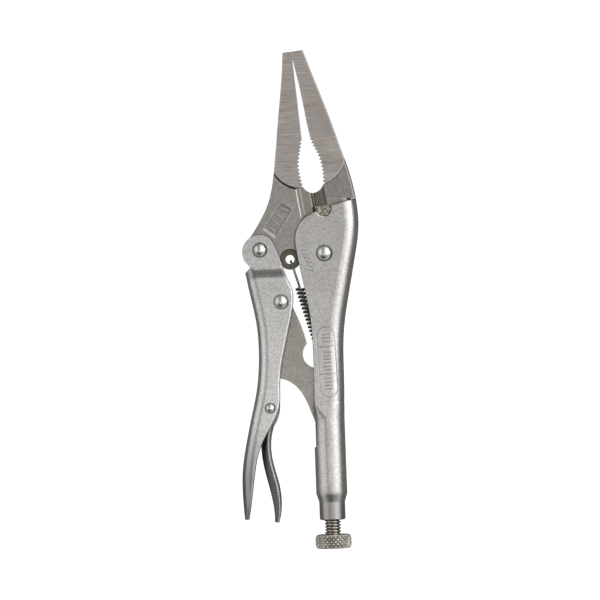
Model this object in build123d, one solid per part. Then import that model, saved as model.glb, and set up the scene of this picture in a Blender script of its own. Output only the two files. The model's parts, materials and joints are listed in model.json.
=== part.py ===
"""Long-nose locking pliers, lying flat, built as separate pieces.

Everything is laid out about the jaw pivot, with +Y along the fixed handle's bore towards the
jaws, +X towards the back of the fixed handle and +Z up through the pivots. The whole tool is
then moved so that the origin is at the bottom centre of its bounding box. Sizes are in mm.
"""

import os
from math import cos, radians, sin, sqrt

from build123d import *

# ---- driving dimensions -------------------------------------------------------------------
# pivots, seen from above
JAW_PIVOT = Vector(0.0, 0.0)
LEVER_PIVOT = Vector(-29.3, 2.4)
LINK_PIVOT = Vector(-20.5, -21.5)
RELEASE_PIVOT = Vector(-27.2, -69.8)
SPRING_EYE = Vector(-15.7, -2.3)
BORE_X = -0.5

# fixed handle: one folded sheet, a channel at the jaws that closes to a tube
HANDLE_SHEET = 2.2
HANDLE_HALF = 7.1
HANDLE_BEND = 6.4
CHANNEL_END_Y = -67.5
TUBE_START_Y = -98.0
NECK_START_Y = -109.8
NECK_END_Y = -113.6
TUBE_END_Y = -121.8
COLLAR_RADIUS = 5.9
SLOT_END_Y = -88.5
SLOT_HALF = 3.2
SHEET_EDGE = 0.7

# jaws
FIXED_JAW_HALF = HANDLE_HALF - HANDLE_SHEET
JAW_HALF = FIXED_JAW_HALF - 0.2
ARM_HALF = 4.6
HUB_RADIUS = 8.2
NOSE_HALF_AT_SHOULDER = 5.8
NOSE_HALF_AT_TIP = 3.4
SHOULDER_Y = 30.0
TIP_Y = 93.1
TIP_CONTACT_Y = 88.6
JAW_GAP = 0.05
COARSE_PITCH = 1.75
COARSE_DEPTH = 1.1
FINE_PITCH = 1.05
FINE_DEPTH = 0.35
CUTTER_GAP = 0.06
ARM_EDGE = 1.1

# lever handle and the two small levers
LEVER_SHEET = 2.0
EAR_HALF = 6.9
LEVER_HALF = 5.3
LEVER_BEND = 4.6
LINK_HALF = 3.0
LEVER_LIP = 0.9
RELEASE_HALF = 3.0
RELEASE_RIM = 0.7

# rivets: shank radius, head radius, head height
JAW_RIVET = (2.4, 3.65, 2.4)
LEVER_RIVET = (2.1, 3.3, 2.2)
LINK_RIVET = (2.1, 3.3, 2.0)
RELEASE_RIVET = (1.5, 2.35, 1.6)
RUNNING_GAP = 0.05

# adjusting screw, 5/16-18
THREAD_RADIUS = 3.8
THREAD_ROOT_RADIUS = 2.9
THREAD_PITCH = 1.411
SCREW_TIP_Y = -92.8
THREAD_START_Y = -97.0
SCREW_HEAD_RADIUS = 8.25
SCREW_HEAD_TOP_Y = -128.5
SCREW_HEAD_END_Y = -134.9

# return spring
WIRE_RADIUS = 0.45
COIL_RADIUS = 1.75
COIL_PITCH = 1.85
COIL_START = Vector(-11.7, -15.3)
COIL_END = Vector(-4.7, -39.6)
SPRING_ANCHOR = Vector(-2.6, -46.4)


# ---- helpers ------------------------------------------------------------------------------
def outline(*curves):
    """One face bounded by the given curves, laid end to end."""
    return make_face([edge for curve in curves for edge in curve.edges()])


def slab(face, half):
    """A face in the plane of the tool, thickened by half on each side."""
    return extrude(face, half, both=True)


def rod(start, end, radius):
    """A round bar between two points."""
    return Solid.make_cylinder(radius, (end - start).length, Plane(start, z_dir=end - start))


def post(centre, radius, half):
    """A round bar along Z, centred on the plane of the tool."""
    return rod(Vector(centre.X, centre.Y, -half), Vector(centre.X, centre.Y, half), radius)


def turned(profile):
    """A round piece about the bore, from (radius, y) corners."""
    corners = [(BORE_X + radius, y) for radius, y in profile]
    face = make_face(Polyline(*corners, close=True).edges())
    return revolve(face, Axis((BORE_X, 0, 0), (0, 1, 0)))


def section(y, left, right, half, left_radius, right_radius):
    """A rounded rectangle across the tool at y, with its own corner radius on each side."""
    bend = 1 - cos(radians(45))
    low_left = (left + left_radius, -half)
    low_right = (right - right_radius, -half)
    right_low = (right, -half + right_radius)
    right_high = (right, half - right_radius)
    high_right = (right - right_radius, half)
    high_left = (left + left_radius, half)
    left_high = (left, half - left_radius)
    left_low = (left, -half + left_radius)
    mid_right = right - bend * right_radius
    mid_left = left + bend * left_radius
    high_mid_right = half - bend * right_radius
    high_mid_left = half - bend * left_radius
    edges = [
        Line(low_left, low_right),
        ThreePointArc(low_right, (mid_right, -high_mid_right), right_low),
        Line(right_low, right_high),
        ThreePointArc(right_high, (mid_right, high_mid_right), high_right),
        Line(high_right, high_left),
        ThreePointArc(high_left, (mid_left, high_mid_left), left_high),
        Line(left_high, left_low),
        ThreePointArc(left_low, (mid_left, -high_mid_left), low_left),
    ]
    across = Plane(origin=(0, y, 0), x_dir=(1, 0, 0), z_dir=(0, -1, 0))
    return across * make_face(edges)


def teeth(curve, pitch, depth, side):
    """A zigzag along a curve: crests on the curve, roots set back by depth on the given side."""
    count = round(curve.length / pitch)
    points = [curve @ 0]
    for i in range(count):
        middle = (i + 0.5) / count
        along = curve % middle
        points.append((curve @ middle) + Vector(-along.Y, along.X) * side * depth)
        points.append(curve @ ((i + 1) / count))
    return Polyline(*points)


def rivet(centre, sizes, grip_half):
    """A shank through a stack of half-thickness grip_half, with a domed head on each end."""
    shank_radius, head_radius, head_height = sizes
    rim = grip_half + 0.25 * head_height
    rise = grip_half + head_height - rim
    sphere = (head_radius**2 + rise**2) / (2 * rise)
    half_radius = 0.5 * head_radius
    half_rise = rim + rise - sphere + sqrt(sphere**2 - half_radius**2)
    top = rim + rise
    face = outline(
        ThreePointArc((0, top), (half_radius, half_rise), (head_radius, rim)),
        Polyline((head_radius, rim), (head_radius, grip_half), (shank_radius, grip_half),
                 (shank_radius, -grip_half), (head_radius, -grip_half), (head_radius, -rim)),
        ThreePointArc((head_radius, -rim), (half_radius, -half_rise), (0, -top)),
        Line((0, -top), (0, top)),
    )
    upright = Plane(origin=(centre.X, centre.Y, 0), x_dir=(1, 0, 0), z_dir=(0, -1, 0))
    return revolve(upright * face, Axis((centre.X, centre.Y, 0), (0, 0, 1)))


# ---- fixed handle -------------------------------------------------------------------------
def cheek_outline():
    """The channel from above, without its back: jaw end, weld notch and open edge."""
    return outline(
        Line((25, 27.5), (15.4, 24.75)),
        Spline((15.4, 24.75), (10.4, 23.5), (3.8, 21.6)),
        ThreePointArc((3.8, 21.6), (0.0, 16.95), (-2.75, 19.3)),
        Spline(
            (-2.75, 19.3), (-6.8, 17.6), (-10.8, 13.7), (-12.9, 8.3), (-12.8, 2.5), (-11.6, -5.0),
            (-9.2, -17.9), (-7.6, -28.0), (-6.8, -39.0), (-6.7, -52.0), (-6.95, CHANNEL_END_Y),
        ),
        Line((-6.95, CHANNEL_END_Y), (25, CHANNEL_END_Y)),
        Line((25, CHANNEL_END_Y), (25, 27.5)),
    )


def along_back(solid):
    """The two long edges where the cheeks turn into the back."""
    return [edge for edge in solid.edges() if (edge @ 0.5).X > 3 and edge.length > 90]


def channel(inset):
    """A bar with the handle's round back, open ended to the front and past the jaws."""
    back = [(14.2, 36.0), (15.4, 24.75), (16.2, 14.0), (15.35, 5.0), (13.6, -4.0), (11.2, -16.0),
            (8.85, -28.0), (7.55, -38.0), (7.1, -50.0), (6.8, CHANNEL_END_Y)]
    spine = Spline(*[(x - inset, y) for x, y in back])
    face = outline(
        spine,
        Polyline(spine @ 1, (-30, CHANNEL_END_Y), (-30, 36.0), spine @ 0),
    )
    bar = slab(face, HANDLE_HALF - inset)
    return fillet(along_back(bar), HANDLE_BEND - inset)


def tube(inset):
    """Where the channel closes to a tube, as a solid bar; with inset, the space inside it."""
    step = 0.15
    full = HANDLE_HALF - inset
    sections = [section(CHANNEL_END_Y + 0.6, -6.95 + step + inset, 6.85 - step - inset, full - step,
                        0.6, HANDLE_BEND - step - inset)]
    count = 6
    for i in range(1, count + 1):
        share = i / count
        ease = share * share * (3 - 2 * share)
        left_bend = max(0.6, 0.6 + 6.4 * ease - inset)
        left = -6.95 - 0.65 * ease + inset
        right = 6.8 - 0.2 * ease - inset
        right_bend = HANDLE_BEND + 0.6 * ease - inset
        sections.append(section(CHANNEL_END_Y - 9.5 * share, left, right, full, left_bend, right_bend))
    sections.append(section(TUBE_START_Y, -7.6 + inset, 6.6 - inset, full, 7.05 - inset, 7.05 - inset))
    return loft(sections, ruled=True)


def cheek_marks():
    """A capsule-shaped groove with rungs on the upper cheek, and a short row of bars beside the rivet."""
    plate = Plane(origin=(-0.4, -49.6, 0), x_dir=(0.03, -1, 0))
    marks = plate * (SlotOverall(32.5, 8.4) - SlotOverall(31.6, 7.5))
    rungs = [-12.5, -10.9, -9.3, -4.4, -2.8, -1.2, 0.4, 2.0, 3.6, 7.6, 9.2, 10.8, 12.4]
    for along, width in [(-7.0, 7.6), (5.5, 7.6)] + [(rung, 3.8) for rung in rungs]:
        marks += plate * (Pos(along, 0) * Rectangle(0.5, width))
    for i in range(7):
        marks += Pos(-9.4 + 0.45 * i, 3.4 - 1.85 * i) * Rectangle(2.6, 0.5, rotation=-14)
    upper = extrude(Pos(0, 0, 1) * marks, 20)
    return upper - channel(0.22)


def fixed_handle():
    stem = turned([(0, TUBE_START_Y), (7.1, TUBE_START_Y), (7.1, NECK_START_Y),
                   (COLLAR_RADIUS, NECK_END_Y), (COLLAR_RADIUS, TUBE_END_Y + 0.5),
                   (COLLAR_RADIUS - 0.5, TUBE_END_Y), (0, TUBE_END_Y)])
    bore = turned([(0, TUBE_START_Y), (4.9, TUBE_START_Y), (4.9, NECK_START_Y - 1.2),
                   (THREAD_RADIUS + RUNNING_GAP, NECK_END_Y - 1.2),
                   (THREAD_RADIUS + RUNNING_GAP, TUBE_END_Y), (0, TUBE_END_Y)])
    body = (channel(0) & slab(cheek_outline(), 20)) + tube(0) + stem
    body = body - channel(HANDLE_SHEET) - tube(HANDLE_SHEET) - bore - cheek_marks()
    slot = Box(12, CHANNEL_END_Y + 2 - SLOT_END_Y, 2 * SLOT_HALF, align=(Align.MAX, Align.MIN, Align.CENTER))
    body -= slot.translate(Vector(BORE_X - 2, SLOT_END_Y, 0))
    body -= post(JAW_PIVOT, JAW_RIVET[0], 20)
    tab = Box(9.0, 1.6, 3.2).translate(Vector(SPRING_ANCHOR.X + 3.4, SPRING_ANCHOR.Y, 0))
    tab -= rod(SPRING_ANCHOR + Vector(0.4, -3, 0), SPRING_ANCHOR + Vector(0.4, 3, 0), 0.8)
    open_edges = [e for e in body.edges() if e.length > 60 and (e @ 0.5).X < -3
                  and abs(abs((e @ 0.5).Z) - HANDLE_HALF) < 0.01]
    body = fillet(open_edges, SHEET_EDGE)
    jaw_end = [e for e in body.edges() if e.length > 2 and (e @ 0.5).Y > 16 and (e @ 0.5).X < 9
               and abs(abs((e @ 0.5).Z) - HANDLE_HALF) < 0.01]
    return fillet(jaw_end, SHEET_EDGE) + tab


# ---- jaws ---------------------------------------------------------------------------------
def nose_wedge():
    """The space between the two ground flanks, which close in towards the tip."""
    slope = (NOSE_HALF_AT_SHOULDER - NOSE_HALF_AT_TIP) / (TIP_Y - SHOULDER_Y)
    low = NOSE_HALF_AT_SHOULDER + 10 * slope
    end = NOSE_HALF_AT_TIP - 10 * slope
    face = make_face(Polyline(
        (SHOULDER_Y - 10, -low), (TIP_Y + 10, -end), (TIP_Y + 10, end), (SHOULDER_Y - 10, low), close=True,
    ).edges())
    across = Plane(origin=(0, 0, 0), x_dir=(0, 1, 0), z_dir=(1, 0, 0))
    return extrude(across * face, 60, both=True)


def tip_notches():
    """Small notches along the line where the two tips meet, leaving a land in the middle."""
    notches = []
    for i in range(4):
        y = TIP_CONTACT_Y + 0.55 + i
        corners = [(-11.55, y), (-11.2, y + 0.42), (-10.85, y), (-11.2, y - 0.42)]
        column = extrude(make_face(Polyline(*corners, close=True).edges()), 6, both=True)
        notches.append(column - Box(60, 400, 2.0))
    return notches


def on_face(edge, least, most):
    """Whether an edge runs along the upper or lower side of the nose and has a length in range."""
    return least < edge.length < most and all(abs((edge @ share).Z) > 2 for share in (0.1, 0.5, 0.9))


def jaw_solid(face, nose_side, half, side, rounds):
    """A jaw from its outline: a ground nose proud of a flatter body, with rounded outer edges.

    Each round is the least and greatest length of the nose edges it takes, and its radius.
    """
    nose = slab(face & nose_side, 9) & nose_wedge()
    for least, most, radius in rounds:
        nose = fillet([e for e in nose.edges() if on_face(e, least, most)], radius)
    for notch in tip_notches():
        nose -= notch
    body = slab(face - nose_side, half)
    outside = [e for e in body.edges()
               if e.length > 14 and side * (e @ 0.5).X > 12 and abs((e @ 0.5).Z) > half - 0.01]
    return nose + fillet(outside, ARM_EDGE)


def cutter_relief(side, outer, inner, half, low_y):
    """The stepped recess beside the wire cutter, on one side of the split line."""
    lip = 0.5
    corners = [
        (0, 0.5), (0.35, 0.5), (0.45, half - 1.7), (0.9, half - 1.45), (inner - lip, half - 0.75),
        (inner, half - 0.5), (outer - lip, half - 0.25), (outer, half), (outer, half + 4),
        (-2, half + 4), (-2, 0.5),
    ]
    profile = [(side * x, z) for x, z in corners]
    split = Plane(origin=(-3.05, low_y, 0), x_dir=(0.988, 0.154, 0), z_dir=(-0.154, 0.988, 0))
    upper = extrude(split * make_face(Polyline(*profile, close=True).edges()), 31.5 - low_y)
    lower = mirror(upper, Plane.XY)
    return upper + lower


def panel_corners(shrink):
    """The corners of the arm's sunk panel, drawn in by a distance."""
    centre = Vector(-20.5, 16.0)
    corners = [Vector(-18.8, 23.6), Vector(-13.9, 20.6), Vector(-22.1, 7.8), Vector(-27.3, 11.8)]
    return [tuple(corner + (centre - corner).normalized() * shrink) for corner in corners]


def sunk_panel():
    """A shallow panel with sloping sides and four raised bars, as the metal to take away."""
    floor = JAW_HALF - 0.6
    low = make_face(Polyline(*panel_corners(0.9), close=True).edges())
    high = make_face(Polyline(*panel_corners(0.0), close=True).edges())
    outlines = [low.moved(Location((0, 0, floor))), high.moved(Location((0, 0, JAW_HALF + 0.01)))]
    panel = loft(outlines, ruled=True)
    for i in range(4):
        bar = Box(3.4, 0.9, 0.5).translate(Vector(0, 0, floor + 0.25))
        panel -= bar.moved(Location((-17.6 - 1.95 * i, 20.2 - 2.85 * i, 0), (0, 0, -33)))
    return panel


def panel_rim():
    """A low raised border with rounded corners round the sunk panel."""
    outer = fillet(make_face(Polyline(*panel_corners(-1.1), close=True).edges()).vertices(), 1.2)
    inner = fillet(make_face(Polyline(*panel_corners(-0.25), close=True).edges()).vertices(), 0.5)
    return extrude(Pos(0, 0, JAW_HALF - 0.2) * (outer - inner), 0.35)


def movable_jaw():
    oval = Spline((-8.4, 30.3), (-9.4, 35.6), (-10.0, 40.2), (-9.6, 44.4), (-8.3, 52.1))
    grip = Spline((-8.3, 52.1), (-9.0, 61.2), (-10.1, 75.0), (-10.85, 84.2), (-11.15, TIP_CONTACT_Y))
    hub_start = (HUB_RADIUS * cos(radians(225)), HUB_RADIUS * sin(radians(225)))
    hub_side = (HUB_RADIUS * cos(radians(-25)), HUB_RADIUS * sin(radians(-25)))
    hub_end = (HUB_RADIUS * cos(radians(100)), HUB_RADIUS * sin(radians(100)))
    face = outline(
        Polyline((-11.15, TIP_CONTACT_Y), (-11.3, 92.5), (-15.8, 92.1)),
        Spline(
            (-15.8, 92.1), (-17.2, 75.3), (-18.9, 61.6), (-20.4, 47.9), (-21.5, 38.8), (-22.6, 31.6),
            (-24.2, 25.2), (-28.4, 16.2), (-33.2, 8.8),
        ),
        ThreePointArc((-33.2, 8.8), (-36.0, 0.6), (-29.6, -4.6)),
        Line((-29.6, -4.6), (-19.2, -5.6)),
        ThreePointArc((-19.2, -5.6), (-15.7, -7.0), (-11.7, -5.0)),
        Line((-11.7, -5.0), hub_start),
        ThreePointArc(hub_start, hub_side, hub_end),
        Line(hub_end, (-3.1, 19.4)),
        Line((-3.1, 19.4), (-4.4, 27.7)),
        ThreePointArc((-4.4, 27.7), (-6.6, 28.5), (-8.4, 30.3)),
        teeth(oval, COARSE_PITCH, COARSE_DEPTH, 1),
        teeth(grip, FINE_PITCH, FINE_DEPTH, 1),
    )
    nose_side = outline(
        Line((-40, 44), (-22.6, 39.4)),
        ThreePointArc((-22.6, 39.4), (-16.4, 31.9), (-8.4, 29.8)),
        Line((-8.4, 29.8), (2, 29.8)),
        Line((2, 29.8), (2, 110)),
        Line((2, 110), (-40, 110)),
        Line((-40, 110), (-40, 44)),
    )
    jaw = jaw_solid(face, nose_side, JAW_HALF, -1, [(8, 100, 0.4)])
    jaw -= cutter_relief(-1, 6.8, 5.1, JAW_HALF, 15.5)
    jaw = jaw - sunk_panel() + panel_rim()
    eye_recess = post(SPRING_EYE, 4.9, 8) - post(SPRING_EYE, 9, 1.5)
    jaw = jaw - eye_recess - post(SPRING_EYE, 2.0, 8)
    jaw -= post(JAW_PIVOT, JAW_RIVET[0] + RUNNING_GAP, 20)
    jaw -= post(LEVER_PIVOT, LEVER_RIVET[0] + RUNNING_GAP, 20)
    return jaw


def fixed_jaw():
    oval = Spline((-4.4, 52.4), (-3.1, 48.5), (-1.1, 44.5), (-0.2, 41.3), (0.4, 37.5), (0.6, 31.4))
    tip_x = -11.3 + JAW_GAP
    land_x = -11.15 + JAW_GAP
    grip = Spline(
        (land_x, TIP_CONTACT_Y), (-10.6, 85.6), (-9.6, 80.9), (-7.6, 70.3), (-6.1, 61.1), (-4.4, 52.4),
    )
    seat_radius = HUB_RADIUS + 0.3
    seat_start = (seat_radius * cos(radians(98.5)), seat_radius * sin(radians(98.5)))
    seat_mid = (seat_radius * cos(radians(65)), seat_radius * sin(radians(65)))
    seat_end = (seat_radius * cos(radians(35)), seat_radius * sin(radians(35)))
    face = outline(
        Polyline((-6.5, TIP_Y), (tip_x, 92.5), (land_x, TIP_CONTACT_Y)),
        teeth(grip, FINE_PITCH, FINE_DEPTH, 1),
        teeth(oval, COARSE_PITCH, COARSE_DEPTH, 1),
        ThreePointArc((0.6, 31.4), (-1.8, 28.4), (-4.4 + CUTTER_GAP, 27.7)),
        Line((-4.4 + CUTTER_GAP, 27.7), (-3.1 + CUTTER_GAP, 19.4)),
        Line((-3.1 + CUTTER_GAP, 19.4), seat_start),
        ThreePointArc(seat_start, seat_mid, seat_end),
        Line(seat_end, (13.5, 8.5)),
        Line((13.5, 8.5), (15.4, 24.3)),
        Spline(
            (15.4, 24.3), (14.7, 28.4), (12.5, 37.6), (9.0, 48.5), (4.9, 61.2), (0.7, 73.0), (-3.4, 84.4),
            (-6.5, TIP_Y),
        ),
    )
    nose_side = outline(
        Line((-12, 31.2), (0.4, 31.2)),
        ThreePointArc((0.4, 31.2), (7.0, 35.3), (11.0, 42.3)),
        Line((11.0, 42.3), (20, 48)),
        Line((20, 48), (20, 110)),
        Line((20, 110), (-12, 110)),
        Line((-12, 110), (-12, 31.2)),
    )
    tang_side = make_face(Polyline((-12, 0), (20, 0), (20, 24.76), (-12, 24.76), close=True).edges())
    body = jaw_solid(face - tang_side, nose_side, ARM_HALF, 1, [(8, 20, 0.4), (40, 100, 0.5)])
    tang = slab(face & tang_side, 9) & channel(HANDLE_SHEET + 0.02)
    return body + tang - cutter_relief(1, 5.8, 3.7, ARM_HALF, 21.4)


def jaw_weld():
    """The two weld beads that fill the notches in the cheeks over the fixed jaw."""
    centre = Vector(0.5, 20.25, FIXED_JAW_HALF)
    bead = Solid.make_cylinder(3.1, 1.2, Plane(centre))
    dome = Solid.make_sphere(6.0).translate(centre + Vector(0, 0, -3.6))
    upper = bead & dome
    upper &= Box(10, 10, 20, align=(Align.CENTER, Align.MAX, Align.CENTER)).translate(Vector(0.5, 21.35, 0))
    return Compound([upper.solids()[0], mirror(upper, Plane.XY).solids()[0]])


# ---- lever handle -------------------------------------------------------------------------
def lever_bar(inset):
    """A bar with the lever's round back, open ended to the front."""
    back = [(-35.75, -11.5), (-33.8, -21.5), (-32.15, -31.0), (-31.5, -42.0), (-31.95, -53.0),
            (-33.35, -63.0), (-35.75, -73.0), (-37.85, -82.0), (-39.75, -91.0), (-40.95, -100.0),
            (-41.1, -110.0), (-40.4, -123.0)]
    spine = Spline(*[(x + inset, y) for x, y in back])
    bar = slab(outline(spine, Polyline(spine @ 1, (-2, -123.0), (-2, -11.5), spine @ 0)), LEVER_HALF - inset)
    edges = [edge for edge in bar.edges() if (edge @ 0.5).X < -28 and edge.length > 90]
    return fillet(edges, LEVER_BEND - inset)


def lever_neck(inset):
    """The soft step from the wide ears down to the narrower channel."""
    levels = [(-5.3, -37.0, EAR_HALF), (-6.2, -36.82, EAR_HALF), (-7.4, -36.56, 6.5), (-8.8, -36.25, 5.85),
              (-10.4, -35.9, 5.35), (-12.2, -35.5, LEVER_HALF - 0.12)]
    return loft([section(y, back + inset, -2, half - inset, LEVER_BEND - inset, 0.4)
                 for y, back, half in levels], ruled=True)


def lever_handle():
    front = outline(
        Polyline((-50, -8.0), (-36.5, -8.0), (-34.2, -5.7), (-34.4, -4.7)),
        ThreePointArc((-34.4, -4.7), (-35.2, 7.0), (-24.5, 7.3)),
        Spline(
            (-24.5, 7.3), (-22.0, 2.3), (-19.5, -4.7), (-17.0, -11.2), (-15.1, -16.7), (-15.1, -23.1),
            (-17.3, -33.1), (-19.5, -42.2), (-21.7, -52.6), (-22.4, -62.0), (-23.0, -69.5), (-25.2, -74.9),
            (-29.1, -81.6), (-32.6, -88.8), (-35.6, -102.4), (-37.7, -116.1), (-38.5, -120.4),
        ),
        Line((-38.5, -120.4), (-50, -120.4)),
        Line((-50, -120.4), (-50, -8.0)),
    )
    ears = slab(front, EAR_HALF) - slab(front, EAR_HALF - LEVER_SHEET)
    ears &= Box(60, 20, 30, align=(Align.CENTER, Align.MIN, Align.CENTER)).translate(Vector(-25, -5.9, 0))
    bar = lever_bar(0) & slab(front, 20)
    lips = [e for e in bar.edges()
            if e.length > 60 and (e @ 0.5).X > -28 and abs((e @ 0.5).Z) > LEVER_HALF - 0.01]
    bar = fillet(lips, LEVER_LIP)
    neck = lever_neck(0) & slab(front, 20)
    lever = bar + neck - lever_neck(LEVER_SHEET) - lever_bar(LEVER_SHEET) + ears
    lever -= post(LEVER_PIVOT, LEVER_RIVET[0], 20)
    lever -= post(LINK_PIVOT, LINK_RIVET[0], 20)
    lever -= post(RELEASE_PIVOT, RELEASE_RIVET[0], 20)
    return lever


def toggle_link():
    face = outline(
        ThreePointArc((-15.6, -23.4), (-19.0, -16.4), (-26.0, -22.5)),
        Spline((-26.0, -22.5), (-26.2, -36.0), (-24.4, -52.0), (-23.6, -55.8), (-22.3, -56.5)),
        Spline(
            (-22.3, -56.5), (-15.1, -60.2), (-11.6, -64.9), (-8.2, -73.4), (-5.4, -80.5), (-2.6, -90.0),
        ),
        ThreePointArc((-2.6, -90.0), (-0.4, -90.1), (1.2, -88.0)),
        Spline((1.2, -88.0), (0.4, -78.0), (-0.9, -66.0), (-2.4, -56.5), (-7.0, -52.0)),
        ThreePointArc((-7.0, -52.0), (-11.4, -46.1), (-9.4, -41.1)),
        Spline((-9.4, -41.1), (-11.8, -32.4), (-15.6, -23.4)),
    )
    return slab(face, LINK_HALF) - post(LINK_PIVOT, LINK_RIVET[0] + RUNNING_GAP, 20)


def release_lever():
    """A flat pivot head and a finger grip whose sides slope from a ridge near the back."""
    head = outline(
        Spline((-23.7, -61.0), (-22.7, -66.0), (-22.9, -71.8), (-25.3, -77.6)),
        Line((-25.3, -77.6), (-31.5, -78.0)),
        Spline((-31.5, -78.0), (-31.2, -74.0), (-30.6, -70.0)),
        ThreePointArc((-30.6, -70.0), (-29.0, -66.6), (-26.2, -63.5)),
        ThreePointArc((-26.2, -63.5), (-25.2, -60.9), (-23.7, -61.0)),
    )
    front = Spline(
        (-31.3, -76.0), (-31.6, -79.5), (-31.9, -89.8), (-29.7, -102.6), (-27.3, -114.2), (-26.9, -122.0),
    )
    back = Spline(
        (-24.6, -75.6), (-26.3, -79.9), (-27.4, -88.1), (-26.4, -95.9), (-24.2, -104.7), (-23.4, -112.0),
        (-24.9, -122.3),
    )
    sections = []
    for i in range(15):
        share = i / 14
        start = front @ share
        across = (back @ share) - start
        rim = max(RELEASE_RIM, 2.6 - 9 * share)
        ridge = RELEASE_HALF - 1.0 * share**3
        heights = [(0, rim), (0.72, ridge), (1, 0.35 * ridge), (1, -0.35 * ridge), (0.72, -ridge), (0, -rim)]
        corners = [start + across * along + Vector(0, 0, z) for along, z in heights]
        sections.append(make_face(Polyline(*corners, close=True).edges()))
    lever = slab(head, RELEASE_HALF) + loft(sections, ruled=True)
    return lever - post(RELEASE_PIVOT, RELEASE_RIVET[0] + RUNNING_GAP, 20)


# ---- screw --------------------------------------------------------------------------------
def adjusting_screw():
    """Threaded shank and head; the thread is one helical ridge on a plain core."""
    length = THREAD_START_Y - SCREW_HEAD_TOP_Y
    base = THREAD_ROOT_RADIUS - 0.1
    helix = Helix(pitch=THREAD_PITCH, height=length - 2 * THREAD_PITCH, radius=base)
    ridge_height = THREAD_RADIUS - base
    profile = Polyline(
        (0, -0.46 * THREAD_PITCH), (ridge_height, -0.07 * THREAD_PITCH),
        (ridge_height, 0.07 * THREAD_PITCH), (0, 0.46 * THREAD_PITCH), close=True,
    )
    start = Plane(origin=(base, 0, 0), x_dir=(1, 0, 0), z_dir=(0, -1, 0))
    ridge = sweep(start * make_face(profile.edges()), path=helix, is_frenet=True)
    upright = Plane(origin=(BORE_X, THREAD_START_Y - THREAD_PITCH, 0), x_dir=(1, 0, 0), z_dir=(0, -1, 0))
    ridge = ridge.moved(upright.location)
    core = turned([(0, THREAD_START_Y), (THREAD_ROOT_RADIUS - 0.4, THREAD_START_Y),
                   (THREAD_ROOT_RADIUS, THREAD_START_Y - 0.5), (THREAD_ROOT_RADIUS, SCREW_HEAD_TOP_Y),
                   (SCREW_HEAD_RADIUS - 0.8, SCREW_HEAD_TOP_Y), (SCREW_HEAD_RADIUS, SCREW_HEAD_TOP_Y - 0.8),
                   (SCREW_HEAD_RADIUS, SCREW_HEAD_END_Y + 0.8), (SCREW_HEAD_RADIUS - 0.8, SCREW_HEAD_END_Y),
                   (0, SCREW_HEAD_END_Y)])
    return core + ridge


def screw_tip():
    """The plain end of the screw, which the toggle link bears towards."""
    tip_radius = THREAD_ROOT_RADIUS
    return turned([(0, SCREW_TIP_Y), (tip_radius - 0.6, SCREW_TIP_Y), (tip_radius, SCREW_TIP_Y - 0.6),
                   (tip_radius, THREAD_START_Y + 0.02), (0, THREAD_START_Y + 0.02)])


# ---- spring -------------------------------------------------------------------------------
def return_spring():
    along = COIL_END - COIL_START
    turns = round(along.length / COIL_PITCH)
    frame = Plane(origin=COIL_START, x_dir=(0, 0, 1), z_dir=along)
    helix = Helix(pitch=along.length / turns, height=along.length, radius=COIL_RADIUS)
    start = Plane(origin=helix @ 0, z_dir=helix % 0)
    coil = sweep(start * Circle(WIRE_RADIUS), path=helix, is_frenet=True).moved(frame.location)
    height = COIL_RADIUS
    top = Vector(COIL_START.X, COIL_START.Y, height)
    over = Vector(SPRING_EYE.X + 0.5, SPRING_EYE.Y - 1.0, 2.15)
    through = Vector(SPRING_EYE.X + 0.3, SPRING_EYE.Y - 0.9, -0.6)
    low = Vector(COIL_END.X, COIL_END.Y, height)
    hook = SPRING_ANCHOR + Vector(0.4, 1.9, 0)
    hook_end = SPRING_ANCHOR + Vector(0.4, -1.5, 0)
    spring = coil
    for a, b in ((top, over), (over, through), (low, hook), (hook, hook_end)):
        spring += rod(a, b, WIRE_RADIUS)
    for joint in (top, over, through, low, hook, hook_end):
        spring += Solid.make_sphere(WIRE_RADIUS).translate(joint)
    return spring


# ---- export -------------------------------------------------------------------------------
def main():
    pieces = {
        "fixed_handle": fixed_handle(),
        "fixed_jaw": fixed_jaw(),
        "jaw_weld": jaw_weld(),
        "movable_jaw": movable_jaw(),
        "lever_handle": lever_handle(),
        "toggle_link": toggle_link(),
        "release_lever": release_lever(),
        "jaw_pivot_rivet": rivet(JAW_PIVOT, JAW_RIVET, HANDLE_HALF),
        "lever_rivet": rivet(LEVER_PIVOT, LEVER_RIVET, EAR_HALF),
        "link_rivet": rivet(LINK_PIVOT, LINK_RIVET, LEVER_HALF),
        "release_rivet": rivet(RELEASE_PIVOT, RELEASE_RIVET, LEVER_HALF),
        "adjusting_screw": adjusting_screw(),
        "screw_tip": screw_tip(),
        "return_spring": return_spring(),
    }
    boxes = [piece.bounding_box() for piece in pieces.values()]
    low = Vector(min(b.min.X for b in boxes), min(b.min.Y for b in boxes), min(b.min.Z for b in boxes))
    high = Vector(max(b.max.X for b in boxes), max(b.max.Y for b in boxes), max(b.max.Z for b in boxes))
    origin = Location((-(low.X + high.X) / 2, -(low.Y + high.Y) / 2, -low.Z))
    os.makedirs("parts", exist_ok=True)
    for name, piece in pieces.items():
        export_step(piece.moved(origin), f"parts/{name}.step")


main()
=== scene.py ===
"""Long-nose locking pliers: materials, fine detail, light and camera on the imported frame."""

import json
import math

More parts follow.
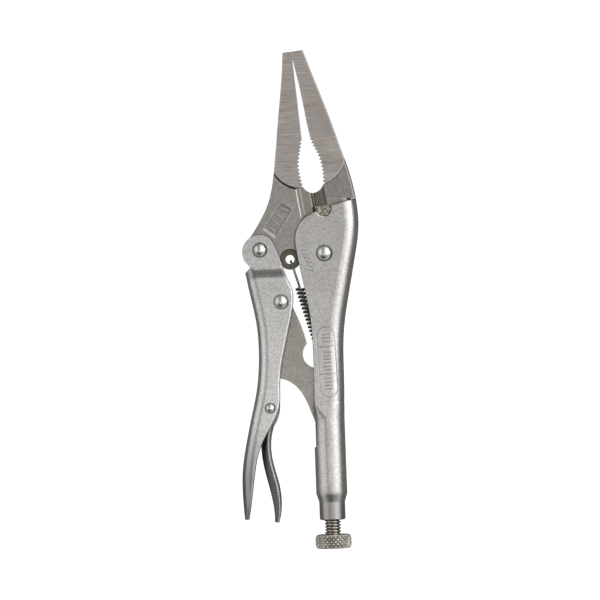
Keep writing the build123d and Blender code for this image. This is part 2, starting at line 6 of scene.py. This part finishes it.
import bpy
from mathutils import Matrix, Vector


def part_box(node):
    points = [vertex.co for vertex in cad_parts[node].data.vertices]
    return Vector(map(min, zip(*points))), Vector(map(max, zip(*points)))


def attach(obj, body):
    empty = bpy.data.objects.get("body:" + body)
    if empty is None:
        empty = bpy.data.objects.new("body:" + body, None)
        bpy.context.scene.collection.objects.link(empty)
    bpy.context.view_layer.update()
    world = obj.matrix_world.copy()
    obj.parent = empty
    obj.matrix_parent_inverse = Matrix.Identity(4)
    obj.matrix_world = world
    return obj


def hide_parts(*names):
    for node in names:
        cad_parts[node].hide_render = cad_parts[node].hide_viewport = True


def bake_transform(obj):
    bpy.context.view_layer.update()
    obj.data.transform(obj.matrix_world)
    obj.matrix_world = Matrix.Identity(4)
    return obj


MM = 0.001
SENSOR = 36.0

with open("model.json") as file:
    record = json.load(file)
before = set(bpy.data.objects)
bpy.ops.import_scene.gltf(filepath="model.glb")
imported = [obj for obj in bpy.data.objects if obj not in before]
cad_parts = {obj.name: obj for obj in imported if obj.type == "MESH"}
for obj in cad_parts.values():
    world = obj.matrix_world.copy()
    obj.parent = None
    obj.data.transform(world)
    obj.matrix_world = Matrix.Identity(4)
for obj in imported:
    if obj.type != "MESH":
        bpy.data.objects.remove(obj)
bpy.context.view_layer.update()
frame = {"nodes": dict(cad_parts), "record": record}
joints = {joint["name"]: joint for joint in frame["record"]["behaviour"]["joints"]}
jaw = Vector(joints["jaw_pivot"]["pos_m"])


def at(x, y, z=0.0):
    """A point given in millimetres from the jaw pivot, in the row frame."""
    return jaw + Vector((x, y, z)) * MM


# ---- node helpers -------------------------------------------------------------------------
class Nodes:
    """A node tree, with short calls for the few kinds of node used here."""

    def __init__(self, tree):
        self.tree = tree
        self.tree.nodes.clear()

    def add(self, kind, **settings):
        node = self.tree.nodes.new(kind)
        for key, value in settings.items():
            setattr(node, key, value)
        return node

    def link(self, source, target):
        self.tree.links.new(source, target)

    def put(self, target, value):
        if isinstance(value, bpy.types.NodeSocket):
            self.link(value, target)
        else:
            target.default_value = value

    def math(self, operation, a, b=0.0):
        node = self.add("ShaderNodeMath", operation=operation)
        self.put(node.inputs[0], a)
        self.put(node.inputs[1], b)
        return node.outputs[0]

    def stretch(self, scale):
        """The position in millimetres, scaled on each axis."""
        node = self.add("ShaderNodeMapping")
        self.link(self.position, node.inputs["Vector"])
        node.inputs["Scale"].default_value = tuple(s / MM for s in scale)
        return node.outputs[0]

    def noise(self, vector, scale=1.0, detail=3.0, rough=0.55):
        node = self.add("ShaderNodeTexNoise")
        self.link(vector, node.inputs["Vector"])
        node.inputs["Scale"].default_value = scale
        node.inputs["Detail"].default_value = detail
        node.inputs["Roughness"].default_value = rough
        return node.outputs["Fac"]

    def remap(self, value, low, high, to_low, to_high):
        """The value, held between low and high, moved onto the range to_low to to_high."""
        node = self.add("ShaderNodeMapRange", clamp=True)
        for socket, number in zip(node.inputs, (value, low, high, to_low, to_high)):
            self.put(socket, number)
        return node.outputs[0]

    def mix(self, factor, a, b):
        """Colour a, turning to colour b as the factor goes from 0 to 1."""
        node = self.add("ShaderNodeMix", data_type="RGBA", blend_type="MIX")
        self.put(node.inputs[0], factor)
        self.put(node.inputs[6], a if isinstance(a, bpy.types.NodeSocket) else (*a, 1.0))
        self.put(node.inputs[7], b if isinstance(b, bpy.types.NodeSocket) else (*b, 1.0))
        return node.outputs[2]

    def blend(self, factor, a, b):
        """Number a, turning to number b as the factor goes from 0 to 1."""
        node = self.add("ShaderNodeMix", data_type="FLOAT")
        self.put(node.inputs[0], factor)
        self.put(node.inputs[2], a)
        self.put(node.inputs[3], b)
        return node.outputs[0]

    def axes(self, vector):
        """The X, Y and Z sockets of a vector."""
        node = self.add("ShaderNodeSeparateXYZ")
        self.link(vector, node.inputs[0])
        return node.outputs

    def bump(self, height, distance, strength, base=None):
        node = self.add("ShaderNodeBump")
        node.inputs["Strength"].default_value = strength
        node.inputs["Distance"].default_value = distance
        self.link(height, node.inputs["Height"])
        if base is not None:
            self.link(base, node.inputs["Normal"])
        return node.outputs[0]

    def rounded(self, radius):
        """The surface normal with its sharp edges rounded over."""
        node = self.add("ShaderNodeBevel", samples=4)
        self.put(node.inputs["Radius"], radius)
        return node.outputs[0]

    def crease_shade(self, color, reach):
        """The colour, darkened with painted shade where surfaces close in on each other."""
        node = self.add("ShaderNodeAmbientOcclusion", samples=8)
        node.inputs["Distance"].default_value = reach
        unshaded = self.remap(node.outputs["AO"], 0.35, 0.85, 0.0, 1.0)
        return self.mix(unshaded, (0.06, 0.055, 0.048), color)

    def edges(self, radius):
        """1 along sharp edges, falling to 0 a radius away from them.

        It compares the rounded normal with the true one, by the cosine of their angle.
        """
        node = self.add("ShaderNodeVectorMath", operation="DOT_PRODUCT")
        self.link(self.rounded(radius), node.inputs[0])
        self.link(self.add("ShaderNodeNewGeometry").outputs["Normal"], node.inputs[1])
        return self.remap(node.outputs["Value"], 0.996, 0.955, 0.0, 1.0)


class Coat(Nodes):
    """A material built on one Principled shader."""

    def __init__(self, name):
        self.material = bpy.data.materials.new(name)
        self.material.use_nodes = True
        super().__init__(self.material.node_tree)
        self.shader = self.add("ShaderNodeBsdfPrincipled")
        output = self.add("ShaderNodeOutputMaterial")
        self.link(self.shader.outputs[0], output.inputs["Surface"])
        place = self.add("ShaderNodeTexCoord")
        self.position = place.outputs["Object"]
        self.facing = place.outputs["Normal"]

    def finish(self, color, rough, normal=None, metallic=1.0):
        color = color if isinstance(color, bpy.types.NodeSocket) else (*color, 1.0)
        self.put(self.shader.inputs["Base Color"], color)
        self.put(self.shader.inputs["Roughness"], rough)
        self.shader.inputs["Metallic"].default_value = metallic
        if normal is not None:
            self.link(normal, self.shader.inputs["Normal"])
        return self.material


# ---- materials ----------------------------------------------------------------------------
# edge colours: the edges are partly rubbed bright and partly a painted highlight
BRIGHT_EDGE = (0.90, 0.88, 0.86)
BRIGHT_JAW_EDGE = (0.90, 0.88, 0.85)
EDGE_RADIUS = 0.22 * MM

# pressed steps: where they are along Y in millimetres from the jaw pivot, how round their
# bends look, and how far from the step's middle that holds and has faded out
NECK_Y = -111.7
LEVER_STEP_Y = -9.2
STEP_RADIUS = 1.8 * MM
STEP_REACH = 3.6 * MM
STEP_END = 5.2 * MM

# heights above the middle plane that tell the forged jaws' surfaces apart
NOSE_HEIGHT = 4.98 * MM
RECESS_HEIGHT = 4.52 * MM
PANEL_HEIGHT = 3.25 * MM
CUTTER_CORNER = at(-11.5, 13)


def darker(color, share):
    return tuple(c * share for c in color)


def satin_nickel(name, light, dark, darkening, radius=EDGE_RADIUS, step_y=None,
                 painted_back_highlight=False):
    """Bead-blasted nickel plate: mottled pearly grain, soft cloudy tone, rubbed edges with a
    painted highlight, and painted shade in creases.

    The fourth argument gives two places along Y, between which the plate grows darker, and
    how much of its brightness is left beyond the second. Sharp edges look rounded to radius,
    and the bends of the pressed step at step_y, where there is one, rounder still. The last
    argument, when true, paints a highlight on the faces turned towards +X.
    """
    n = Coat(name)
    flat = n.stretch((1, 1, 1))
    mottle = n.noise(flat, scale=1.0, detail=2.0)
    fine = n.noise(flat, scale=3.0, detail=3.0, rough=0.7)
    cloud = n.noise(flat, scale=0.07, detail=3.0)
    rubbed_highlight = n.edges(0.35 * MM)
    color = n.mix(n.remap(cloud, 0.3, 0.7, 0.0, 1.0), dark, light)
    color = n.mix(n.remap(mottle, 0.36, 0.66, 0.0, 0.55), color, darker(dark, 0.55))
    sparkle = tuple(min(c * 1.3, 0.9) for c in light)
    color = n.mix(n.remap(fine, 0.45, 0.72, 0.0, 0.50), color, sparkle)
    # darker along Y between the two given places, down to the share of brightness left
    full_to, dark_from, left = darkening
    place = n.math("ADD", n.axes(n.position)[1], n.math("MULTIPLY", cloud, 8 * MM))
    y_darkening = n.remap(place, at(0, full_to).y, at(0, dark_from).y, 0.0, 1.0)
    color = n.mix(y_darkening, color, darker(dark, left))
    # painted highlight on the faces turned towards +X
    if painted_back_highlight:
        rubbed_highlight = n.math("MAXIMUM", rubbed_highlight, n.remap(n.axes(n.facing)[0], 0.12, 0.40, 0.0, 1.0))
    # the edges lighten towards BRIGHT_EDGE: partly rubbed wear, partly painted highlight
    color = n.mix(n.math("MULTIPLY", rubbed_highlight, 0.7), color, BRIGHT_EDGE)
    color = n.crease_shade(color, 1.4 * MM)
    height = n.math("ADD", n.math("MULTIPLY", fine, 0.5), n.math("MULTIPLY", mottle, 0.9))
    if step_y is not None:
        from_step = n.math("ABSOLUTE", n.math("SUBTRACT", n.axes(n.position)[1], at(0, step_y).y))
        radius = n.remap(from_step, STEP_REACH, STEP_END, STEP_RADIUS, radius)
    normal = n.bump(height, 0.06 * MM, 0.6, n.rounded(radius))
    rough = n.blend(rubbed_highlight, n.remap(fine, 0.3, 0.75, 0.24, 0.34), 0.20)
    return n.finish(color, rough, normal)


def jaw_steel(name, split_y, forged_tone):
    """Ground nose with cross-brushed flanks; the forged body below it is satin plated."""
    n = Coat(name)
    x, y, z = n.axes(n.position)
    proud = n.math("ABSOLUTE", n.math("SUBTRACT", z, jaw.z))
    past_split = n.math("GREATER_THAN", y, split_y)
    nose = n.math("MAXIMUM", past_split, n.math("GREATER_THAN", proud, NOSE_HEIGHT))
    stepped = n.math("LESS_THAN", proud, RECESS_HEIGHT)
    sunk_shade_mask = n.math("LESS_THAN", proud, PANEL_HEIGHT)
    brush = n.noise(n.stretch((0.10, 5.0, 5.0)), detail=5.0, rough=0.65)
    streak = n.noise(n.stretch((0.02, 0.9, 0.9)), detail=2.0)
    flat = n.stretch((1, 1, 1))
    fine = n.noise(flat, scale=2.6, detail=4.0, rough=0.7)
    mottle = n.noise(flat, scale=0.9, detail=2.0)
    cloud = n.noise(flat, scale=0.10, detail=3.0)
    rubbed_highlight = n.edges(0.30 * MM)
    brushed = n.remap(brush, 0.32, 0.66, 0.0, 1.0)
    ground = n.mix(brushed, (0.30, 0.27, 0.25), (0.66, 0.62, 0.585))
    ground = n.mix(n.remap(streak, 0.35, 0.65, 0.0, 0.50), ground, (0.40, 0.345, 0.315))
    ground = n.mix(n.remap(cloud, 0.40, 0.65, 0.0, 0.30), ground, (0.33, 0.27, 0.24))
    clouded = n.remap(cloud, 0.3, 0.7, 0.0, 1.0)
    forged = n.mix(clouded, darker(forged_tone, 0.86), forged_tone)
    forged = n.mix(n.remap(mottle, 0.36, 0.66, 0.0, 0.60), forged, darker(forged_tone, 0.50))
    sparkle = tuple(c * 1.5 for c in forged_tone)
    forged = n.mix(n.remap(fine, 0.45, 0.72, 0.0, 0.45), forged, sparkle)
    behind_split = n.math("GREATER_THAN", x, CUTTER_CORNER.x)
    cutter = n.math("MULTIPLY", behind_split, n.math("GREATER_THAN", y, CUTTER_CORNER.y))
    # painted shade: the cutter's recessed faces are painted almost black
    forged = n.mix(n.math("MULTIPLY", stepped, cutter), forged, (0.17, 0.165, 0.145))
    # painted shade: the floors sunk below PANEL_HEIGHT are painted dark
    forged = n.mix(sunk_shade_mask, forged, (0.15, 0.135, 0.10))
    color = n.mix(nose, forged, ground)
    # the edges lighten towards BRIGHT_JAW_EDGE: partly rubbed wear, partly painted highlight
    color = n.mix(n.math("MULTIPLY", rubbed_highlight, 0.8), color, BRIGHT_JAW_EDGE)
    color = n.crease_shade(color, 1.4 * MM)
    forged_rough = n.remap(fine, 0.3, 0.7, 0.28, 0.40)
    rough = n.blend(nose, forged_rough, n.remap(brush, 0.3, 0.7, 0.25, 0.38))
    grain = n.math("ADD", n.math("MULTIPLY", fine, 0.5), n.math("MULTIPLY", mottle, 0.7))
    height = n.blend(nose, grain, brush)
    normal = n.bump(height, 0.05 * MM, 0.6, n.rounded(0.15 * MM))
    return n.finish(color, rough, normal)


def polished(name, color, rough=0.12):
    """Polished nickel with faint swirl scratches, and painted shade darkening each dome towards
    its rim.
    """
    n = Coat(name)
    swirl = n.noise(n.stretch((1, 1, 1)), scale=1.3, detail=6.0, rough=0.75)
    tone = n.mix(n.remap(swirl, 0.4, 0.75, 0.0, 0.35), color, darker(color, 0.72))
    flatness = n.math("ABSOLUTE", n.axes(n.facing)[2])
    # painted shade: the sloping rim of each dome is painted darker
    tone = n.mix(n.remap(flatness, 0.97, 0.72, 0.0, 0.85), tone, darker(color, 0.22))
    tone = n.crease_shade(tone, 1.2 * MM)
    normal = n.bump(swirl, 0.03 * MM, 0.5)
    return n.finish(tone, n.remap(swirl, 0.3, 0.8, rough * 0.7, rough * 1.8), normal)


def plated(name, light, dark, rough):
    """Plated turned or drawn steel: grime in the low frequencies, fine scratches in the high."""
    n = Coat(name)
    flat = n.stretch((1, 1, 1))
    fine = n.noise(flat, scale=2.2, detail=5.0, rough=0.7)
    cloud = n.noise(flat, scale=0.35, detail=2.0)
    color = n.mix(n.remap(cloud, 0.35, 0.65, 0.0, 1.0), dark, light)
    color = n.mix(n.remap(fine, 0.45, 0.75, 0.0, 0.4), color, darker(dark, 0.5))
    color = n.crease_shade(color, 0.9 * MM)
    normal = n.bump(fine, 0.015 * MM, 0.4)
    return n.finish(color, n.remap(fine, 0.3, 0.7, rough * 0.85, rough * 1.3), normal)


def weld_metal(name):
    """A rippled weld bead with a brown heat tint."""
    n = Coat(name)
    flat = n.stretch((1, 1, 1))
    lumps = n.noise(flat, scale=0.8, detail=1.0)
    fine = n.noise(flat, scale=2.4, detail=4.0)
    color = n.mix(n.remap(lumps, 0.35, 0.65, 0.0, 1.0), (0.20, 0.17, 0.12), (0.50, 0.46, 0.37))
    color = n.mix(n.remap(fine, 0.45, 0.70, 0.0, 0.4), color, (0.62, 0.58, 0.50))
    height = n.math("ADD", lumps, n.math("MULTIPLY", fine, 0.2))
    normal = n.bump(height, 0.7 * MM, 0.7)
    return n.finish(color, n.remap(fine, 0.3, 0.7, 0.24, 0.42), normal)


def floor_white(name):
    """A matt white table top with the faintest paper tooth."""
    n = Coat(name)
    tooth = n.noise(n.stretch((1, 1, 1)), scale=0.6, detail=2.0)
    color = n.mix(n.remap(tooth, 0.3, 0.7, 0.0, 1.0), (0.30, 0.30, 0.30), (0.32, 0.32, 0.32))
    n.shader.inputs["Emission Color"].default_value = (1, 1, 1, 1)
    n.shader.inputs["Emission Strength"].default_value = 0.96
    n.shader.inputs["Specular IOR Level"].default_value = 0.0
    return n.finish(color, 0.9, metallic=0.0)


nickel = satin_nickel(
    "satin_nickel", (0.66, 0.64, 0.615), (0.57, 0.55, 0.525), (-102, -112, 0.66), step_y=NECK_Y,
)
lever_nickel = satin_nickel(
    "lever_nickel", (0.72, 0.70, 0.68), (0.64, 0.62, 0.60), (-72, -98, 0.50), step_y=LEVER_STEP_Y,
)
link_plate = satin_nickel(
    "link_plate", (0.42, 0.395, 0.36), (0.35, 0.33, 0.30), (-58, -80, 0.70),
)
# the release lever's darker tone is painted shade
release_plate = satin_nickel(
    "release_plate", (0.34, 0.33, 0.32), (0.28, 0.27, 0.26), (-80, -100, 0.50), radius=1.3 * MM,
    painted_back_highlight=True,
)
movable_steel = jaw_steel("movable_jaw_steel", at(0, 40).y, (0.42, 0.40, 0.37))
fixed_steel = jaw_steel("fixed_jaw_steel", at(0, 43).y, (0.37, 0.35, 0.325))
rivet_metal = polished("polished_rivet", (0.80, 0.79, 0.77))
screw_metal = plated("screw_plate", (0.80, 0.76, 0.69), (0.60, 0.565, 0.50), 0.20)
spring_metal = plated("spring_wire", (0.38, 0.38, 0.38), (0.22, 0.22, 0.23), 0.30)
bead_metal = weld_metal("weld_bead")

COATS = {
    "fixed_handle": nickel, "lever_handle": lever_nickel, "release_lever": release_plate,
    "toggle_link": link_plate, "movable_jaw": movable_steel, "fixed_jaw": fixed_steel,
    "jaw_weld": bead_metal, "screw_tip": screw_metal,
    "jaw_pivot_rivet": rivet_metal, "lever_rivet": rivet_metal, "link_rivet": rivet_metal,
    "release_rivet": rivet_metal,
}
for node, coat in COATS.items():
    for material_slot in frame["nodes"][node].material_slots:
        material_slot.material = coat


# ---- mesh helpers -------------------------------------------------------------------------
def mesh_object(name, vertices, faces, material, smooth_angle=35):
    mesh = bpy.data.meshes.new(name)
    mesh.from_pydata([tuple(v) for v in vertices], [], faces)
    mesh.validate()
    mesh.materials.append(material)
    for polygon in mesh.polygons:
        polygon.use_smooth = True
    mesh.set_sharp_from_angle(angle=math.radians(smooth_angle))
    obj = bpy.data.objects.new(name, mesh)
    bpy.context.scene.collection.objects.link(obj)
    return obj


def revolved(stations, around, radius_at, axis_x, axis_z):
    """A closed surface about an axis along Y; radius_at(y, turn) gives its radius."""
    vertices = []
    faces = []
    for y in stations:
        for i in range(around):
            turn = i / around
            r = radius_at(y, turn)
            angle = 2 * math.pi * turn
            vertices.append((axis_x + r * math.cos(angle), y, axis_z + r * math.sin(angle)))
    for row in range(len(stations) - 1):
        for i in range(around):
            a = row * around + i
            b = row * around + (i + 1) % around
            faces.append((a, a + around, b + around, b))
    for row, y in ((0, stations[0]), (len(stations) - 1, stations[-1])):
        centre = len(vertices)
        vertices.append((axis_x, y, axis_z))
        for i in range(around):
            a = row * around + i
            b = row * around + (i + 1) % around
            faces.append((centre, a, b) if row == 0 else (centre, b, a))
    return vertices, faces


def tube_mesh(points, radius, sides=10):
    """A round wire along a list of points, closed at both ends."""
    vertices = []
    faces = []
    side = Vector((0, 0, 1))
    for i, point in enumerate(points):
        ahead = points[min(i + 1, len(points) - 1)] - points[max(i - 1, 0)]
        ahead.normalize()
        side = (side - ahead * side.dot(ahead)).normalized()
        up = ahead.cross(side)
        for k in range(sides):
            angle = 2 * math.pi * k / sides
            vertices.append(point + (side * math.cos(angle) + up * math.sin(angle)) * radius)
    for i in range(len(points) - 1):
        for k in range(sides):
            a = i * sides + k
            b = i * sides + (k + 1) % sides
            faces.append((a, b, b + sides, a + sides))
    faces.append(tuple(reversed(range(sides))))
    faces.append(tuple(range((len(points) - 1) * sides, len(points) * sides)))
    return vertices, faces


# ---- adjusting screw: diamond knurl and rolled thread -------------------------------------
low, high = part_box("adjusting_screw")
screw_x = 0.5 * (low[0] + high[0])
screw_z = 0.5 * (low[2] + high[2])
head_radius = 0.5 * (high[0] - low[0])
head_end = low[1]
head_top = head_end + 6.4 * MM
thread_end = high[1]
KNURLS = 24
KNURL_DEPTH = 0.75 * MM
GROOVE_SHARPNESS = 3.2
EDGE = 1.9 * MM
HEAD_ROWS = 72
COLUMNS_PER_KNURL = 12
THREAD_ROWS = 300
THREAD_COLUMNS = 56
HEAD_OVERLAP = 0.2 * MM
THREAD_PITCH = 1.411 * MM
THREAD_RADIUS = 3.8 * MM
THREAD_ROOT = 2.9 * MM


def ridge(value):
    """1 at the middle of a groove, falling to 0 at its edges, repeating every 1."""
    return max(0.0, 1.0 - GROOVE_SHARPNESS * abs((value % 1.0) - 0.5))


def knob_radius(y, turn):
    """The head's radius: two crossed sets of grooves that fade out at its rounded edges."""
    from_edge = min(y - head_end, head_top - y)
    rounding = 0.0
    if from_edge < EDGE:
        rounding = EDGE - math.sqrt(max(EDGE**2 - (EDGE - from_edge) ** 2, 0.0))
    along = (y - head_end) / (2 * math.pi * head_radius / KNURLS)
    groove = max(ridge(turn * KNURLS + along), ridge(turn * KNURLS - along))
    fade = min(1.0, max(0.0, (from_edge - 0.15 * MM) / (0.7 * MM)))
    return head_radius - 0.75 * rounding - KNURL_DEPTH * groove * fade


def thread_radius(y, turn):
    """The shank's radius: one helical ridge, run out at the end."""
    phase = ((y - head_top) / THREAD_PITCH - turn) % 1.0
    crest = abs(phase - 0.5) * 2
    profile = min(1.0, max(0.0, (crest - 0.12) / 0.72))
    taper = min(1.0, max(0.0, (thread_end - y) / (1.5 * MM)))
    return THREAD_ROOT + (THREAD_RADIUS - THREAD_ROOT) * profile * taper


def steps(start, end, count):
    return [start + (end - start) * i / count for i in range(count + 1)]


head_stations = steps(head_end, head_top, HEAD_ROWS)
thread_stations = steps(head_top - HEAD_OVERLAP, thread_end, THREAD_ROWS)
vertices, faces = revolved(
    head_stations, KNURLS * COLUMNS_PER_KNURL, knob_radius, screw_x, screw_z,
)
more, more_faces = revolved(
    thread_stations, THREAD_COLUMNS, thread_radius, screw_x, screw_z,
)
faces += [tuple(i + len(vertices) for i in face) for face in more_faces]
vertices += more
screw = mesh_object("knurled_adjusting_screw", vertices, faces, screw_metal, 28)
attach(screw, "screw")
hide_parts("adjusting_screw")

# ---- return spring ------------------------------------------------------------------------
coil_start = at(-11.7, -15.3)
coil_end = at(-4.7, -39.6)
coil_radius = 1.75 * MM
wire = 0.52 * MM
along = (coil_end - coil_start).normalized()
across = Vector((0, 0, 1))
sideways = along.cross(across)
turns = 14
per_turn = 28
upper_hook = [
    (-15.35, -3.15, -1.9), (-15.4, -3.2, -0.6), (-15.35, -3.3, 0.9), (-15.2, -3.6, 1.75),
    (-14.6, -5.4, 2.05), (-13.4, -9.6, 1.95), (-12.1, -14.0, 1.80),
]
lower_hook = [
    (-4.5, -40.9, 1.5), (-3.2, -43.3, 0.5), (-2.3, -44.9, 0.05), (-2.2, -46.4), (-2.2, -47.9),
]
points = [at(*place) for place in upper_hook]
for i in range(turns * per_turn + 1):
    angle = 2 * math.pi * i / per_turn
    centre = coil_start.lerp(coil_end, i / (turns * per_turn))
    points.append(centre + (across * math.cos(angle) + sideways * math.sin(angle)) * coil_radius)
points += [at(*place) for place in lower_hook]
vertices, faces = tube_mesh(points, wire)
spring = mesh_object("return_spring_wire", vertices, faces, spring_metal, 60)
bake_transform(spring)
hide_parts("return_spring")

# ---- floor, light, camera -----------------------------------------------------------------
FLOOR_HALF = 4
floor_vertices = [
    (-FLOOR_HALF, -FLOOR_HALF, 0), (FLOOR_HALF, -FLOOR_HALF, 0), (FLOOR_HALF, FLOOR_HALF, 0),
    (-FLOOR_HALF, FLOOR_HALF, 0),
]
floor = mesh_object("floor", floor_vertices, [(0, 1, 2, 3)], floor_white("floor_white"))
floor.visible_glossy = False

world = bpy.data.worlds.new("studio")
bpy.context.scene.world = world
world.use_nodes = True
sky = Nodes(world.node_tree)
direction = sky.add("ShaderNodeTexCoord").outputs["Generated"]
east, north, up = sky.axes(direction)
BRIGHTEST = 1.7
GROUND_LOW = 0.19
GROUND_HIGH = 0.24
RING = 0.80
FIRST_STOPS = 2
panels = sky.add("ShaderNodeValToRGB")
# the panels overhead: how far east (-1 to 1), and how bright there
levels = [
    (-1.0, 1.0), (-0.62, 1.0), (-0.50, 0.50), (-0.12, 0.31), (-0.03, 0.38), (0.06, 0.66),
    (0.16, 1.05), (0.34, 1.38), (0.68, 1.68), (0.84, 1.25), (0.97, 0.85),
]
for index, (place, brightness) in enumerate(levels):
    if index < FIRST_STOPS:
        element = panels.color_ramp.elements[index]
        element.position = 0.5 + 0.5 * place
    else:
        element = panels.color_ramp.elements.new(0.5 + 0.5 * place)
    element.color = (brightness / BRIGHTEST,) * 3 + (1,)
sky.link(sky.remap(east, -1, 1, 0, 1), panels.inputs[0])
ground = sky.remap(up, -0.12, 0.10, GROUND_LOW / BRIGHTEST, GROUND_HIGH / BRIGHTEST)
right_lift = sky.math("MULTIPLY", sky.math("MAXIMUM", east, 0.0), -0.20)
overhead = sky.remap(sky.math("ADD", up, right_lift), -0.02, 0.12, 0.0, 1.0)
upper = sky.remap(up, 0.30, 0.50, 0.0, 1.0)
front = sky.blend(upper, 0.9, sky.remap(north, -0.58, -0.10, 0.28, 1.0))
back = sky.remap(north, -0.2, 0.6, 0.96, 1.15)
# an even ring of light near the horizon, for the views from the side
ring = sky.math("MULTIPLY", sky.math("SUBTRACT", 1.0, upper), RING / BRIGHTEST)
level = sky.math("MAXIMUM", sky.math("MULTIPLY", panels.outputs[0], back), ring)
level = sky.blend(overhead, ground, sky.math("MULTIPLY", level, front))
background = sky.add("ShaderNodeBackground")
world_out = sky.add("ShaderNodeOutputWorld")
sky.link(level, background.inputs[0])
background.inputs[1].default_value = BRIGHTEST
sky.link(background.outputs[0], world_out.inputs[0])


def softbox(name, place, aim, width, height, power):
    """A soft lamp that points at a place, and does not show itself to the camera."""
    light = bpy.data.lights.new(name, "AREA")
    light.shape = "RECTANGLE"
    light.size = width
    light.size_y = height
    light.energy = power
    obj = bpy.data.objects.new(name, light)
    bpy.context.scene.collection.objects.link(obj)
    obj.location = place
    obj.rotation_euler = (Vector(aim) - obj.location).to_track_quat("-Z", "Y").to_euler()
    obj.visible_camera = False


softbox("lower_box", (-0.055, -0.095, 0.46), (-0.055, -0.095, 0.0), 0.13, 0.16, 0.050)
softbox("right_box", (0.62, 0.10, 0.43), (0.0, 0.0, 0.0), 0.30, 0.50, 0.60)

LEAN = math.radians(2.08)
LENS = 300.0
FRAME_WIDTH = 274.2 * MM
camera_data = bpy.data.cameras.new("camera")
camera_data.sensor_width = SENSOR
camera_data.lens = LENS
camera_data.clip_start = 0.01
camera_data.clip_end = 20.0
camera = bpy.data.objects.new("camera", camera_data)
bpy.context.scene.collection.objects.link(camera)
target = at(-11.83, -20.97)
camera.location = target + Vector((0, 0, FRAME_WIDTH * LENS / SENSOR))
camera.rotation_euler = (0, 0, -LEAN)
bpy.context.scene.camera = camera
bpy.context.scene.view_settings.view_transform = "Standard"
